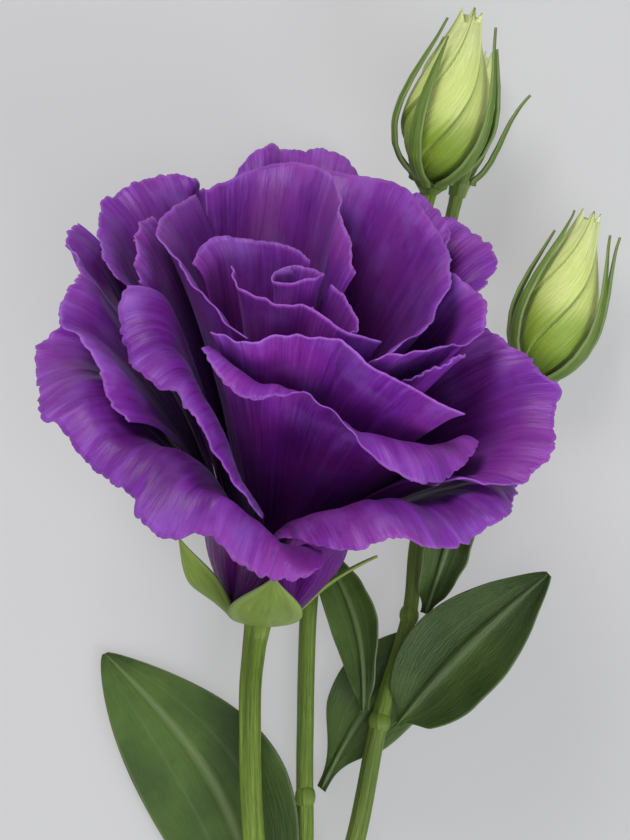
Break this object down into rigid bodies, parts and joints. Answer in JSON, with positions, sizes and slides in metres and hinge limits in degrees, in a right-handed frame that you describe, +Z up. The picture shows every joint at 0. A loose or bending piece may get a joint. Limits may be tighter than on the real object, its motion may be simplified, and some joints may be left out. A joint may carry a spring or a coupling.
{
  "type": "lisianthus flower",
  "caption": "Cut lisianthus lying down: an open double violet bloom, pale green buds and pointed leaves on a branching green stem",
  "frame": {"origin": "bottom centre of the bounding box, on the surface the flower lies on, about level with the middle of the stem branches just below the bloom", "axes": "+X points to the right of the stem, seen from above with the bloom at the top; +Y runs along the stem from its cut end to the bloom and buds; +Z points up from the surface."},
  "size_m": [0.087, 0.2046, 0.0618],
  "materials": {
    "petal_violet": "soft velvety petal with a faint sheen",
    "leaf_green": "waxy matt leaf",
    "stem_green": "smooth, slightly waxy stalk",
    "sepal_green": "thin matt sepal",
    "bud_green": "smooth closed petals"
  },
  "bodies": {
    "root": {"Stem": "stem_green", "Leaf_Left": "leaf_green", "Leaf_Right": "leaf_green", "Leaf_Folded": "leaf_green", "Leaf_Stalked": "leaf_green", "Bract": "leaf_green", "Petal_Heart_1": "petal_violet", "Petal_Heart_2": "petal_violet", "Petal_Heart_3": "petal_violet", "Petal_Heart_4": "petal_violet", "Petal_Inner_1": "petal_violet", "Petal_Inner_2": "petal_violet", "Petal_Inner_3": "petal_violet", "Petal_Inner_4": "petal_violet", "Petal_Inner_5": "petal_violet", "Petal_Inner_6": "petal_violet", "Petal_Middle_1": "petal_violet", "Petal_Middle_2": "petal_violet", "Petal_Middle_3": "petal_violet", "Petal_Middle_4": "petal_violet", "Petal_Outer_1": "petal_violet", "Petal_Outer_2": "petal_violet", "Petal_Outer_3": "petal_violet", "Petal_Outer_4": "petal_violet", "Petal_Outer_5": "petal_violet", "Petal_Outer_6": "petal_violet", "Petal_Outer_7": "petal_violet", "Calyx_Bloom": "sepal_green", "Calyx_Left": "sepal_green", "Calyx_Third": "sepal_green", "Calyx_Right": "sepal_green", "Bud_Left": "bud_green", "Bud_Third": "bud_green", "Bud_Right": "bud_green"}
  },
  "joints": []
}
